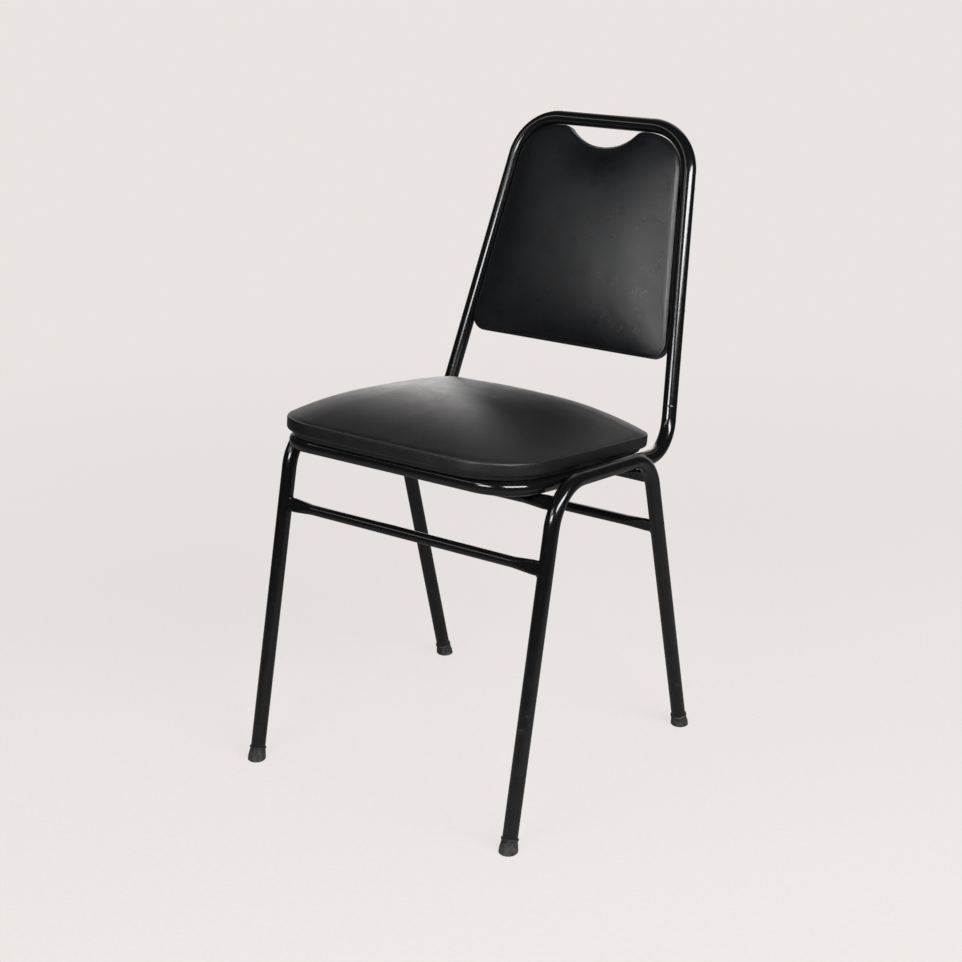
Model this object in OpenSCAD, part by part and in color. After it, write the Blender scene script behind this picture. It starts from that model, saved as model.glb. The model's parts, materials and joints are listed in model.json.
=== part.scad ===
/* [Tube] */
// Outside diameter of the bent frame tube
tube_od = 19; // [16:0.5:22]
// Wall of the bent frame tube
tube_wall = 1.5; // [1:0.1:2.5]
// Outside diameter of the straight cross tubes
cross_od = 13.8; // [12:0.2:16]
// Wall of the straight cross tubes
cross_wall = 1.2; // [1:0.1:2]

/* [Legs] */
// Distance between the left and the right leg frame, centre to centre
leg_track = 405; // [390:1:440]
// How far the front leg leans back between the floor and the top bar's line
front_leg_rake = 93.1; // [80:0.1:105]
// How far the rear leg leans forward between the floor and the top bar's line
rear_leg_rake = 112.4; // [100:0.1:125]
// How far the top bar's line lies above the side rail's at the front leg
bar_front_rise = 5.7; // [4:0.1:8]
// How far the top bar's line lies above the side rail's at the rear leg
bar_rear_rise = 10.6; // [8:0.1:13]
// How far behind the foot of the uprights the rear foot stands
rear_foot_out = 32.4; // [20:0.1:45]
// Centreline radius of the bends at the top of the legs
leg_bend_r = 60; // [50:1:70]

/* [Seat hoop] */
// Distance from the front foot centre back to the front rail's centreline
rail_setback = 35.6; // [25:0.1:45]
// Height of the front rail's centreline
rail_h = 441; // [430:0.5:455]
// Gap across the chair between a leg frame and its side rail's line at the front
rail_front_gap = 7; // [4:0.5:12]
// Gap across the chair between a leg frame and its side rail's line at the rear
rail_rear_gap = 1.5; // [1:0.5:4]
// Depth from the front rail to the line where the uprights start
hoop_depth = 352; // [335:1:370]
// How much lower the side rails lie at the rear than at the front
rail_drop = 41.9; // [30:0.1:50]
// Centreline radius of the seat hoop's front corners
hoop_front_r = 55; // [45:1:65]
// Centreline radius of the bends from the side rails into the uprights
hoop_rear_r = 54; // [45:1:58]

/* [Back hoop] */
// Height of the back hoop's top bar, on its centreline
back_h = 802.1; // [760:0.1:850]
// Lean of the back from the vertical, in degrees
back_lean = 17.74; // [12:0.1:20]
// How far each upright leans in between its foot and the height of the top bar
upright_taper = 51.4; // [32:0.1:62]
// Centreline radius of the back hoop's top corners
back_top_r = 65; // [50:1:75]
// Height of the joint between the two hoops above the foot of the uprights
joint_rise = 57.9; // [54:0.1:80]
// Length of the spigot above the joint
spigot_up = 36; // [20:1:60]
// Length of the spigot below the joint
spigot_down = 13; // [8:1:15]

/* [Cross tubes] */
// Height of the front stretcher's centreline
front_stretcher_h = 340; // [300:1:360]
// Height of the rear stretcher's centreline
rear_stretcher_h = 316; // [280:1:340]
// Length of the flat tongue at each end of a cross tube
tongue_len = 9; // [6:1:20]
// Length over which a cross tube is pressed from round to flat
press_len = 28; // [15:1:40]
// Thickness of the flat tongue
tongue_t = 5.2; // [3:0.2:7]
// Height of the flat tongue
tongue_h = 18.6; // [15:0.2:21]

/* [Feet] */
// Thickness of a rubber foot round its tube at the base
foot_base_wall = 2.25; // [1.5:0.25:5]
// Thickness of a rubber foot round its tube at the upper lip
foot_lip_wall = 1.5; // [1.25:0.25:4]
// Height of a rubber foot along its leg
foot_h = 18.5; // [14:0.5:30]
// Rubber left under the end of the leg tube, along the leg
foot_sole = 6; // [5:0.5:9]
// Bevel round the sole
foot_bevel = 1.2; // [0.5:0.1:2]

/* [Seat pad] */
// Distance from a leg frame's centreline in to the seat cushion's side
pad_side_in = 15; // [14:0.5:25]
// How far the cushion reaches forward of the front rail's centreline
pad_overhang = 25; // [10:1:40]
// Distance from the foot of the uprights forward to the cushion's rear edge
pad_rear_in = 24; // [17:1:40]
// Radius of the cushion's front corners in plan
pad_front_r = 80; // [50:1:100]
// Radius of the cushion's rear corners in plan
pad_rear_r = 50; // [40:1:80]
// Bow of the cushion's sides between the corners
pad_bow = 2; // [0:0.5:3]
// Height of the cushion's lower edge above the rails
pad_edge_h = 6.5; // [3:0.5:8]
// Height of the fold between border and top above the rails
pad_fold_h = 21; // [18:0.5:26]
// Rise of the crown from the fold to the middle
pad_crown = 50; // [30:1:60]
// Thickness of the plywood seat board
board_t = 12; // [10:0.5:15]
// Distance from the cushion's side in to the seat board's
board_in = 9.5; // [8:0.5:18]
// Thickness of the cover where it goes down round the seat board
skirt_t = 2.5; // [1:0.5:4]

/* [Back pad] */
// Gap between the back pad's edge and the tubes beside it
back_pad_gap = 1.1; // [0.8:0.1:6]
// Distance along the uprights from their foot to the pad's lower edge
back_pad_low = 117.7; // [100:0.1:140]
// Distance along the uprights from the pad's upper edge to the top bar's centreline
back_pad_top_gap = 10.3; // [10.3:0.1:20]
// Radius of the pad's lower corners
back_pad_low_r = 20; // [15:1:45]
// Radius of the pad's upper corners
back_pad_top_r = 55; // [54:1:62]
// Half width of the hand hold cut into the pad's upper edge
notch_half_w = 57; // [45:1:58]
// Depth of the hand hold
notch_depth = 24.7; // [15:0.1:30]
// Radius of the lips at the ends of the hand hold
notch_lip_r = 12; // [4:1:14]
// Width of the border between the pad's back and the fold
back_border = 15.1; // [12:0.1:18]
// Rise of the back pad's crown from the fold to the middle
back_crown = 26; // [15:1:35]
// Thickness of the plywood back board
back_board_t = 8; // [6:0.5:9]
// Thickness of the covered panel that closes the back of the pad
back_panel_t = 2; // [1.5:0.1:3]

/* [Fixings] */
// Thickness of the steel tabs that hold the pads
tab_t = 3; // [2:0.5:4]
// Width of a tab along its tube
tab_w = 28; // [24:1:34]
// Distance from a side rail's centreline to a seat tab's screw
seat_screw_x = 24; // [22:1:30]
// Distance from an upright's centreline to a back tab's screw
back_screw_x = 38; // [36:1:50]
// Reach of a tab past its screw
tab_end = 12; // [10:1:16]
// Distance from the front rail to the front seat tabs
front_tab_y = 95; // [80:1:110]
// Distance from the foot of the uprights forward to the rear seat tabs
rear_tab_in = 97; // [85:1:110]
// Distance along the uprights from the pad's lower edge to the lower back tabs
low_tab_up = 57; // [45:1:70]
// Distance along the uprights from the top bar's centreline to the upper back tabs
high_tab_down = 88; // [80:1:100]
// Thread diameter of the screws
screw_d = 6; // [5:0.5:6]
// Head diameter of the screws
head_d = 12; // [10:0.5:13]
// Head height of the screws
head_h = 3.6; // [3:0.2:4.4]
// Diameter of a washer
washer_d = 15; // [14:0.5:17]
// Thickness of a washer
washer_t = 1.2; // [1:0.1:1.6]
// Diameter of a tee nut's flange
tee_flange_d = 18; // [16:0.5:20]
// Thickness of a tee nut's flange
tee_flange_t = 1.4; // [1:0.1:1.8]
// Diameter of a tee nut's barrel
tee_barrel_d = 8.4; // [8:0.2:9]

/* [Fits] */
// Gap between a soft or loose piece and its seat
seat_gap = 0.3; // [0.2:0.05:0.5]
// Gap between a welded piece and the tube that it is cut to
weld_gap = 0.15; // [0.1:0.05:0.3]
// Radial play of a spigot or a screw in its hole
slip_gap = 0.1; // [0.05:0.05:0.2]
// Radial clearance of a drilled hole round its screw
hole_gap = 0.3; // [0.2:0.05:0.5]
// How far a cutting solid runs past the face that it cuts
overrun = 1; // [0.5:0.5:2]

/* [Hidden] */
$fn = 48;
tube_r = tube_od / 2;
// How much fatter a bend is than the straights, and how far they lap into it
bend_step = tube_od * 0.0065;
bend_lap = 1;
cross_r = cross_od / 2;
// Thickness of the slices that a pressed end is drawn between, and the share of the
// round tube's and the tongue's size that they have
press_skin = 0.2;
press_share = 0.998;
// Thickness of the lip round the top of a foot
foot_lip_t = 1;
// Height and length of a packer, and its places along the straight bar
packer_h = 9;
packer_w = 18;
packer_shares = [0.14, 0.86];
// Steps of an outline's corners, sides and hand hold
corner_steps = 8;
side_steps = 6;
notch_steps = 14;
// Shares of a pad's outline at which its crown, fold, hem and pockets lie
dome_shares = [0.15, 0.3, 0.45, 0.6, 0.72, 0.82, 0.9, 0.96];
fold_share = 0.992;
hem_share = 0.97;
back_pocket_share = 0.93;
back_board_share = 0.928;
// How full the crowns are towards their edges
seat_power = 3;
back_power = 3.2;

// A vector made one long
function unit(v) = v / norm(v);

// Sizes that follow from the named ones
hoop_front_w = leg_track - 2 * (tube_od + rail_front_gap);
hoop_rear_w = leg_track - 2 * (tube_od + rail_rear_gap);
back_top_w = hoop_rear_w - 2 * upright_taper;
foot_base = rail_setback + hoop_depth + rear_foot_out;
front_leg_h = rail_h - (front_leg_rake - rail_setback) * rail_drop / hoop_depth + bar_front_rise;
rear_leg_h = rail_h
    - (foot_base - rear_leg_rake - rail_setback) * rail_drop / hoop_depth + bar_rear_rise;
foot_base_r = tube_r + foot_base_wall;
foot_lip_r = tube_r + foot_lip_wall;
pad_half_w = leg_track / 2 - pad_side_in;
pad_reach = hoop_depth - pad_rear_in;
board_half_w = pad_half_w - board_in;

// The y of each row of points, set so that the chair stands centred on its origin
hoop_reach = rail_setback + hoop_depth + (back_h - rail_h + rail_drop) * tan(back_lean);
front_edge = foot_base_r / cos(atan(front_leg_rake / front_leg_h));
front_foot_y = -(hoop_reach + tube_r - front_edge) / 2;
rear_foot_y = front_foot_y + foot_base;
rail_y = front_foot_y + rail_setback;
upright_y = rail_y + hoop_depth;
upright_h = rail_h - rail_drop;
rail_slope = atan(rail_drop / hoop_depth);
upright_rise = back_h - upright_h;
upright_len = upright_rise / cos(back_lean);
back_top_y = upright_y + upright_rise * tan(back_lean);
joint_h = upright_h + joint_rise;

// Corner points of the bent tubes, side is 1 on the right and -1 on the left
function leg_points(side) = [
    [side * leg_track / 2, front_foot_y, 0],
    [side * leg_track / 2, front_foot_y + front_leg_rake, front_leg_h],
    [side * leg_track / 2, rear_foot_y - rear_leg_rake, rear_leg_h],
    [side * leg_track / 2, rear_foot_y, 0]
];
function rail_front(side) = [side * hoop_front_w / 2, rail_y, rail_h];
function rail_rear(side) = [side * hoop_rear_w / 2, upright_y, upright_h];
function upright_top(side) = [side * back_top_w / 2, back_top_y, back_h];
function upright_at(side, h) =
    rail_rear(side) + (upright_top(side) - rail_rear(side)) * (h - upright_h) / upright_rise;

// Half width of the side rails at a distance along them, and of the uprights
rail_len = norm([hoop_depth, rail_drop]);
function rail_half(y) = (hoop_front_w + (hoop_rear_w - hoop_front_w) * y / rail_len) / 2;
function upright_half(z) = (hoop_rear_w + (back_top_w - hoop_rear_w) * z / upright_len) / 2;

// Lean of the legs from the vertical, and the ends of the straight bar between their bends
front_lean = atan(front_leg_rake / front_leg_h);
rear_lean = atan(rear_leg_rake / rear_leg_h);
bar_slope = atan((front_leg_h - rear_leg_h) / (foot_base - front_leg_rake - rear_leg_rake));
bar_front_y = front_foot_y + front_leg_rake
    + leg_bend_r * tan((90 - front_lean + bar_slope) / 2) * cos(bar_slope);
bar_rear_y = rear_foot_y - rear_leg_rake
    - leg_bend_r * tan((90 - rear_lean - bar_slope) / 2) * cos(bar_slope);

// Where a seat bar's centreline meets a leg's bend: its y, its height and the leg's lean there
function seat_bar_at(front) =
    let (
        start = front ? bar_front_y : bar_rear_y,
        bar_z = front_leg_h - (start - front_foot_y - front_leg_rake) * tan(bar_slope),
        centre = [start, bar_z] - leg_bend_r * [sin(bar_slope), cos(bar_slope)],
        m = tan(rail_slope),
        drop = (tube_r + tongue_h / 2 + weld_gap) / cos(rail_slope),
        k = rail_h - drop - m * (centre.x - rail_y) - centre.y,
        root = sqrt(k * k * m * m - (1 + m * m) * (k * k - leg_bend_r * leg_bend_r)),
        u = (k * m + (front ? -root : root)) / (1 + m * m),
        rise = k - m * u
    )
    [centre.x + u, centre.y + rise, -atan(rise / u)];

hoop_points = [
    upright_at(-1, joint_h), rail_rear(-1), rail_front(-1),
    rail_front(1), rail_rear(1), upright_at(1, joint_h)
];
hoop_radii = [hoop_rear_r, hoop_front_r, hoop_front_r, hoop_rear_r];

// Places its children with their z axis along the line from a to b
module along(a, b) {
    z = unit(b - a);
    x = unit(cross(abs(z.x) > 0.9 ? [0, 1, 0] : [1, 0, 0], z));
    y = cross(z, x);
    multmatrix([
        [x.x, y.x, z.x, a.x],
        [x.y, y.y, z.y, a.y],
        [x.z, y.z, z.z, a.z]
    ]) children();
}

// Distance from a corner to where its bend starts
function bend_in(p, i, r) =
    let (turn = acos(unit(p[i] - p[i - 1]) * unit(p[i + 1] - p[i]))) r * tan(turn / 2);

// One bend of a rod, at corner i of the points p
module bend(p, i, r, rod_r) {
    d1 = unit(p[i] - p[i - 1]);
    d2 = unit(p[i + 1] - p[i]);
    turn = acos(d1 * d2);
    inward = unit(d2 - d1 * (d1 * d2));
    centre = p[i] - d1 * r * tan(turn / 2) + inward * r;
    axis = cross(-inward, d1);
    multmatrix([
        [-inward.x, d1.x, axis.x, centre.x],
        [-inward.y, d1.y, axis.y, centre.y],
        [-inward.z, d1.z, axis.z, centre.z]
    ])
        rotate_extrude(angle = turn) translate([r, 0]) circle(rod_r);
}

// A rod bent at each inner point of p, with one radius for each bend. Its open ends reach
// past the end points by end_run, and its bends are fatter by bend_step, so that they join.
module bent_rod(p, radii, rod_r, end_run = 0) {
    last = len(p) - 1;
    for (i = [0 : last - 1]) {
        a = i == 0 ? -end_run : bend_in(p, i, radii[i - 1]) - bend_lap;
        b = i == last - 1 ? -end_run : bend_in(p, i + 1, radii[i]) - bend_lap;
        along(p[i], p[i + 1])
            translate([0, 0, a]) cylinder(h = norm(p[i + 1] - p[i]) - a - b, r = rod_r);
    }
    for (i = [1 : last - 1]) bend(p, i, radii[i - 1], rod_r + bend_step);
}

// A tube along the same line
module bent_tube(p, radii) {
    difference() {
        bent_rod(p, radii, tube_r);
        bent_rod(p, radii, tube_r - tube_wall, overrun);
    }
}

// The seat's frame: x across, y back along the rails, z square to them
module in_seat() {
    translate([0, rail_y, rail_h]) rotate([-rail_slope, 0, 0]) children();
}

// The back's frame: x across, y to the rear, z up along the back
module in_back() {
    translate([0, upright_y, upright_h]) rotate([-back_lean, 0, 0]) children();
}

module seat_hoop() {
    color("#17181a")
        bent_tube(hoop_points, hoop_radii);
}

module back_hoop() {
    color("#17181a")
        bent_tube(
            [upright_at(-1, joint_h), upright_top(-1), upright_top(1), upright_at(1, joint_h)],
            [back_top_r, back_top_r]
        );
}

// The plug inside the joint of the two hoops
module spigot(side) {
    color("#4b4d50")
        along(upright_at(side, joint_h), upright_top(side))
            translate([0, 0, -spigot_down])
                difference() {
                    cylinder(h = spigot_down + spigot_up, r = tube_r - tube_wall - slip_gap);
                    translate([0, 0, -overrun])
                        cylinder(
                            h = spigot_down + spigot_up + 2 * overrun,
                            r = tube_r - 2 * tube_wall - slip_gap
                        );
                }
}
module left_spigot() { spigot(-1); }
module right_spigot() { spigot(1); }

// An arch of tube that makes a front leg, a top bar and a rear leg
module leg_frame(side) {
    p = leg_points(side);
    front_end = p[0] + unit(p[1] - p[0]) * foot_sole;
    rear_end = p[3] + unit(p[2] - p[3]) * foot_sole;
    color("#1b1c1e")
        bent_tube([front_end, p[1], p[2], rear_end], [leg_bend_r, leg_bend_r]);
}
module left_leg_frame() { leg_frame(-1); }
module right_leg_frame() { leg_frame(1); }

// Point on a leg's centreline at a height, front leg or rear leg
function on_leg(side, front, h) =
    let (p = leg_points(side), a = front ? p[0] : p[3], b = front ? p[1] : p[2])
    a + (b - a) * h / b.z;

// The space that a leg frame takes, with the gap for a weld
module leg_space(side) {
    bent_rod(leg_points(side), [leg_bend_r, leg_bend_r], tube_r + weld_gap);
}

// The space that the seat hoop takes, with the same gap
module hoop_space() {
    bent_rod(hoop_points, hoop_radii, tube_r + weld_gap);
}

// Outline of a pressed tongue or, with the wall as shrink, of the slot inside it
module tongue_outline(shrink) {
    edge = (tongue_h - tongue_t) / 2;
    r = tongue_t / 2 - shrink;
    polygon([for (s = [1, -1], a = [-90 : 30 : 90]) s * [edge + r * cos(a), r * sin(a)]]);
}

// A cross tube's outside or, with the wall as shrink, its bore, from end to end
module pressed_rod(shrink, end_run) {
    tongue_start = leg_track / 2 - tube_r - tongue_len;
    round_half = tongue_start - press_len;
    rotate([0, 90, 0]) {
        translate([0, 0, -round_half]) cylinder(h = 2 * round_half, r = cross_r - shrink);
        for (s = [-1, 1]) rotate([0, s < 0 ? 180 : 0, 0]) {
            hull() {
                translate([0, 0, round_half])
                    cylinder(h = press_skin, r = (cross_r - shrink) * press_share, $fn = 32);
                translate([0, 0, tongue_start - press_skin])
                    rotate([0, 0, -s * $lean])
                        linear_extrude(2 * press_skin)
                            scale([press_share, press_share]) tongue_outline(shrink);
            }
            translate([0, 0, tongue_start])
                rotate([0, 0, -s * $lean])
                    linear_extrude(leg_track / 2 + end_run - tongue_start) tongue_outline(shrink);
        }
    }
}

// A straight tube between the legs with both ends pressed flat and cut to the legs
module cross_tube(y, h, lean) {
    $lean = lean;
    color("#1b1c1e")
        difference() {
            translate([0, y, h])
                difference() {
                    pressed_rod(0, 0);
                    pressed_rod(cross_wall, overrun);
                }
            for (s = [-1, 1]) leg_space(s);
        }
}

module front_stretcher() {
    cross_tube(on_leg(1, true, front_stretcher_h).y, front_stretcher_h, front_lean);
}
module rear_stretcher() {
    cross_tube(on_leg(1, false, rear_stretcher_h).y, rear_stretcher_h, -rear_lean);
}

// A bar under the side rails, where they pass a leg's upper bend
module seat_bar(front) {
    at = seat_bar_at(front);
    cross_tube(at.x, at.y, at.z);
}
module front_seat_bar() { seat_bar(true); }
module rear_seat_bar() { seat_bar(false); }

// Steel packers that fill the gap between a side rail and the bar outside it
module rail_packers() {
    color("#17181a")
        for (side = [-1, 1], t = packer_shares) {
            y = bar_front_y + (bar_rear_y - bar_front_y) * t;
            run = (y - rail_y) / cos(rail_slope);
            rail = [side * rail_half(run), y, rail_h - run * sin(rail_slope)];
            p = leg_points(side);
            bar = p[1] + (p[2] - p[1]) * (y - p[1].y) / (p[2].y - p[1].y);
            difference() {
                along(rail, bar)
                    translate([-packer_h / 2, -packer_w / 2, 0]) cube([packer_h, packer_w, norm(bar - rail)]);
                hoop_space();
                leg_space(side);
            }
        }
}

// A rubber foot on the end of a leg, cut level where it stands
module foot(side, front) {
    p = leg_points(side);
    a = front ? p[0] : p[3];
    b = front ? p[1] : p[2];
    base_r = foot_base_r;
    lip_r = foot_lip_r;
    sole_r = base_r / cos(front ? front_lean : rear_lean) - foot_bevel;
    color("#232323")
        difference() {
            intersection() {
                along(a, b)
                    rotate_extrude()
                        polygon([
                            [0, -base_r],
                            [base_r, -base_r],
                            [base_r, foot_h * 0.25],
                            [lip_r - foot_lip_t, foot_h - 3 * foot_lip_t],
                            [lip_r, foot_h - 2 * foot_lip_t],
                            [lip_r, foot_h - foot_lip_t],
                            [lip_r - foot_lip_t, foot_h],
                            [0, foot_h]
                        ]);
                translate(a) cylinder(h = 2 * base_r, r1 = sole_r, r2 = sole_r + 2 * base_r);
            }
            along(a, b) translate([0, 0, foot_sole]) cylinder(h = foot_h, r = tube_r + slip_gap);
        }
}
module foot_front_left() { foot(-1, true); }
module foot_front_right() { foot(1, true); }
module foot_rear_left() { foot(-1, false); }
module foot_rear_right() { foot(1, false); }

// A flat steel tab that reaches inward from a tube's centreline, with its screw hole
module tab(start, screw_x) {
    r = tab_w / 4;
    reach = screw_x + tab_end;
    linear_extrude(tab_t)
        difference() {
            union() {
                translate([-reach + r, -tab_w / 2]) square([reach - r + start, tab_w]);
                translate([-reach, -tab_w / 2 + r]) square([2 * r, tab_w - 2 * r]);
                for (s = [-1, 1]) translate([-reach + r, s * (tab_w / 2 - r)]) circle(r);
            }
            translate([-screw_x, 0]) circle(screw_d / 2 + hole_gap);
        }
}

// Rows of the tabs along the rails and along the uprights
seat_tab_rows = [front_tab_y, hoop_depth - rear_tab_in];
back_tab_rows = [back_pad_low + low_tab_up, upright_len - high_tab_down];

// Places its children at each seat screw, z up from the rails' upper side
module at_seat_screws() {
    in_seat()
        for (side = [-1, 1], y = seat_tab_rows)
            translate([side * (rail_half(y) - seat_screw_x), y, tube_r]) children();
}

// Places its children at each back screw, z forward from the uprights' rear side
module at_back_screws() {
    in_back()
        for (side = [-1, 1], z = back_tab_rows)
            translate([side * (upright_half(z) - back_screw_x), tube_r, z]) rotate([90, 0, 0]) children();
}

module seat_tabs() {
    color("#17181a")
        difference() {
            in_seat()
                for (side = [-1, 1], y = seat_tab_rows)
                    translate([side * rail_half(y), y, tube_r - tab_t])
                        mirror([side < 0 ? 1 : 0, 0, 0]) tab(-tab_t, seat_screw_x);
            hoop_space();
        }
}

module back_tabs() {
    color("#17181a")
        in_back()
            for (side = [-1, 1], z = back_tab_rows)
                translate([side * upright_half(z), tube_r + weld_gap + tab_t, z])
                    rotate([90, 0, 0])
                        mirror([side < 0 ? 1 : 0, 0, 0]) tab(tab_t, back_screw_x);
}

// A pan head screw with its head below z = 0 and a cross recess
module screw(shank) {
    crown = head_h * 0.4;
    slot = screw_d / 5;
    color("#8f9194")
        difference() {
            union() {
                cylinder(h = shank, d = screw_d);
                translate([0, 0, -head_h + crown]) cylinder(h = head_h - crown, d = head_d);
                translate([0, 0, -head_h]) cylinder(h = crown, d1 = head_d - 2 * crown, d2 = head_d);
            }
            for (a = [0, 90])
                rotate([0, 0, a])
                    translate([-screw_d / 2, -slot / 2, -head_h - overrun])
                        cube([screw_d, slot, overrun + head_h / 2]);
        }
}

module washer() {
    color("#8f9194")
        difference() {
            cylinder(h = washer_t, d = washer_d);
            translate([0, 0, -overrun]) cylinder(h = washer_t + 2 * overrun, r = screw_d / 2 + hole_gap);
        }
}

// A tee nut with its barrel from z = 0 up to its flange, whose upper face is at z = top
module tee_nut(top) {
    color("#a9abad")
        difference() {
            union() {
                translate([0, 0, top / 4]) cylinder(h = top * 3 / 4, d = tee_barrel_d);
                translate([0, 0, top - tee_flange_t]) cylinder(h = tee_flange_t, d = tee_flange_d);
            }
            translate([0, 0, -overrun]) cylinder(h = top + 2 * overrun, r = screw_d / 2 + slip_gap);
        }
}

// The hole that a tee nut needs in a board from z = 0 to z = top
module tee_hole(top) {
    translate([0, 0, -overrun]) cylinder(h = top + 2 * overrun, r = tee_barrel_d / 2 + slip_gap);
    translate([0, 0, top - tee_flange_t - slip_gap])
        cylinder(h = tee_flange_t + slip_gap + overrun, r = tee_flange_d / 2 + hole_gap);
}

// Points of one rounded corner at b, on the way from a to c, counterclockwise
function corner(a, b, c, r) =
    let (
        d1 = unit(b - a), d2 = unit(c - b),
        turn = acos(d1 * d2),
        out = [d1.y, -d1.x],
        centre = b - d1 * r * tan(turn / 2) - out * r
    )
    [for (i = [0 : corner_steps]) let (t = turn * i / corner_steps)
        centre + r * [out.x * cos(t) - out.y * sin(t), out.x * sin(t) + out.y * cos(t)]];

// Points between a and b, with the middle pushed out by bow
function side(a, b, bow) =
    let (d = unit(b - a))
    [for (i = [1 : side_steps - 1]) let (t = i / side_steps)
        a + (b - a) * t + [d.y, -d.x] * bow * 4 * t * (1 - t)];

// Joins each rounded corner to the next with a side
function closed(corners, bow) =
    [for (i = [0 : len(corners) - 1])
        let (next = corners[(i + 1) % len(corners)], now = corners[i])
        each concat(now, side(now[len(now) - 1], next[0], bow))];

// Outline of the seat cushion in plan, from the front left corner, counterclockwise
pad_corners = [
    [-pad_half_w, -pad_overhang], [pad_half_w, -pad_overhang],
    [pad_half_w, pad_reach], [-pad_half_w, pad_reach]
];
pad_radii = [pad_front_r, pad_front_r, pad_rear_r, pad_rear_r];
function corners_of(p, radii) =
    [for (i = [0 : 3]) corner(p[(i + 3) % 4], p[i], p[(i + 1) % 4], radii[i])];
pad_outline = closed(corners_of(pad_corners, pad_radii), pad_bow);
pad_centre = [0, (pad_reach - pad_overhang) / 2];
pad_half = [pad_half_w, (pad_reach + pad_overhang) / 2];

// Outline of the back pad seen from the front, with the hand hold in its upper edge
back_pad_high = upright_len - back_pad_top_gap;
function back_half(z) =
    upright_half(z) - tube_r / cos(atan((hoop_rear_w - back_top_w) / 2 / upright_len)) - back_pad_gap;
notch_r = (notch_half_w * notch_half_w + notch_depth * notch_depth) / (2 * notch_depth);
notch_turn = asin(notch_half_w / notch_r);
notch = [for (i = [0 : notch_steps]) let (t = notch_turn * (1 - 2 * i / notch_steps))
    [notch_r * sin(t), back_pad_high + notch_r - notch_depth - notch_r * cos(t)]];
back_corners = [
    [-back_half(back_pad_low), back_pad_low], [back_half(back_pad_low), back_pad_low],
    [back_half(back_pad_high), back_pad_high], [-back_half(back_pad_high), back_pad_high]
];
back_radii = [back_pad_low_r, back_pad_low_r, back_pad_top_r, back_pad_top_r];
back_rounds = corners_of(back_corners, back_radii);
function join(a, b) = concat(a, side(a[len(a) - 1], b[0], 0));
back_outline = concat(
    join(back_rounds[0], back_rounds[1]),
    join(back_rounds[1], back_rounds[2]),
    back_rounds[2],
    corner(back_corners[2], notch[0], notch[1], notch_lip_r),
    [for (i = [1 : notch_steps - 1]) notch[i]],
    corner(notch[notch_steps - 1], notch[notch_steps], back_corners[3], notch_lip_r),
    join(back_rounds[3], back_rounds[0])
);
back_centre = [0, (back_pad_low + back_pad_high) / 2];
back_half_size = [back_half(back_centre.y), (back_pad_high - back_pad_low) / 2];

// One ring of a pad: its outline drawn in to a share of its size, at a height
function ring(outline, centre, share, h) =
    [for (p = outline) [centre.x + (p.x - centre.x) * share, centre.y + (p.y - centre.y) * share, h]];

// A ring of the crown, which turns from the outline into an ellipse towards the middle
function crown_ring(outline, centre, half, share, h) =
    [for (p = outline)
        let (v = p - centre, e = v / norm([v.x / half.x, v.y / half.y]), q = v * share + e * (1 - share))
        [centre.x + q.x * share, centre.y + q.y * share, h]];

// The rings of a pad from its crown down its border, then down a skirt round the edge of
// the board where it has one, and up into the pocket for the board
function pad_rings(outline, centre, half, low, fold, crown, power, skirt, pocket_share, pocket) =
    concat(
        [for (s = dome_shares)
            crown_ring(outline, centre, half, s, fold + crown * (1 - pow(s, power)))],
        [
            ring(outline, centre, fold_share, fold),
            ring(outline, centre, 1, low + (fold - low) * 0.75),
            ring(outline, centre, 1, low + (fold - low) * 0.35),
            ring(outline, centre, hem_share, low)
        ],
        skirt > 0 ? [ring(outline, centre, skirt, low), ring(outline, centre, skirt, seat_gap)] : [],
        [
            ring(outline, centre, pocket_share, skirt > 0 ? seat_gap : low),
            ring(outline, centre, pocket_share, pocket)
        ]
    );

// A closed solid through rings of equal count, from the top point down to the bottom point
module lofted(rings, top, bottom) {
    n = len(rings[0]);
    last = len(rings) - 1;
    end = 1 + n * len(rings);
    points = concat([top], [for (r = rings) each r], [bottom]);
    faces = concat(
        [for (j = [0 : n - 1]) [0, 1 + (j + 1) % n, 1 + j]],
        [for (k = [0 : last - 1], j = [0 : n - 1])
            let (u = 1 + k * n + j, v = 1 + k * n + (j + 1) % n)
                each [[u, v + n, u + n], [u, v, v + n]]],
        [for (j = [0 : n - 1]) [1 + last * n + j, 1 + last * n + (j + 1) % n, end]]
    );
    polyhedron(points = points, faces = faces, convexity = 6);
}

board_top = seat_gap + board_t;
board_share = board_half_w / pad_half_w;
pocket_share = (board_half_w + seat_gap) / pad_half_w;
skirt_share = (board_half_w + seat_gap + skirt_t) / pad_half_w;

module seat_cushion() {
    pocket = board_top + seat_gap;
    color("#26272a")
        in_seat()
            translate([0, 0, tube_r])
                lofted(
                    pad_rings(
                        pad_outline, pad_centre, pad_half, pad_edge_h, pad_fold_h, pad_crown,
                        seat_power, skirt_share, pocket_share, pocket
                    ),
                    [pad_centre.x, pad_centre.y, pad_fold_h + pad_crown],
                    [pad_centre.x, pad_centre.y, pocket]
                );
}

module seat_board() {
    color("#8a6b45")
        difference() {
            in_seat()
                translate([0, 0, tube_r + seat_gap])
                    linear_extrude(board_t)
                        polygon([for (p = ring(pad_outline, pad_centre, board_share, 0)) [p.x, p.y]]);
            at_seat_screws() translate([0, 0, seat_gap]) tee_hole(board_t);
        }
}

module seat_tee_nuts() { at_seat_screws() translate([0, 0, seat_gap]) tee_nut(board_t); }
module seat_washers() { at_seat_screws() translate([0, 0, -tab_t - washer_t]) washer(); }
module seat_screws() {
    at_seat_screws()
        translate([0, 0, -tab_t - washer_t]) screw(washer_t + tab_t + seat_gap + board_t - tee_flange_t);
}

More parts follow.
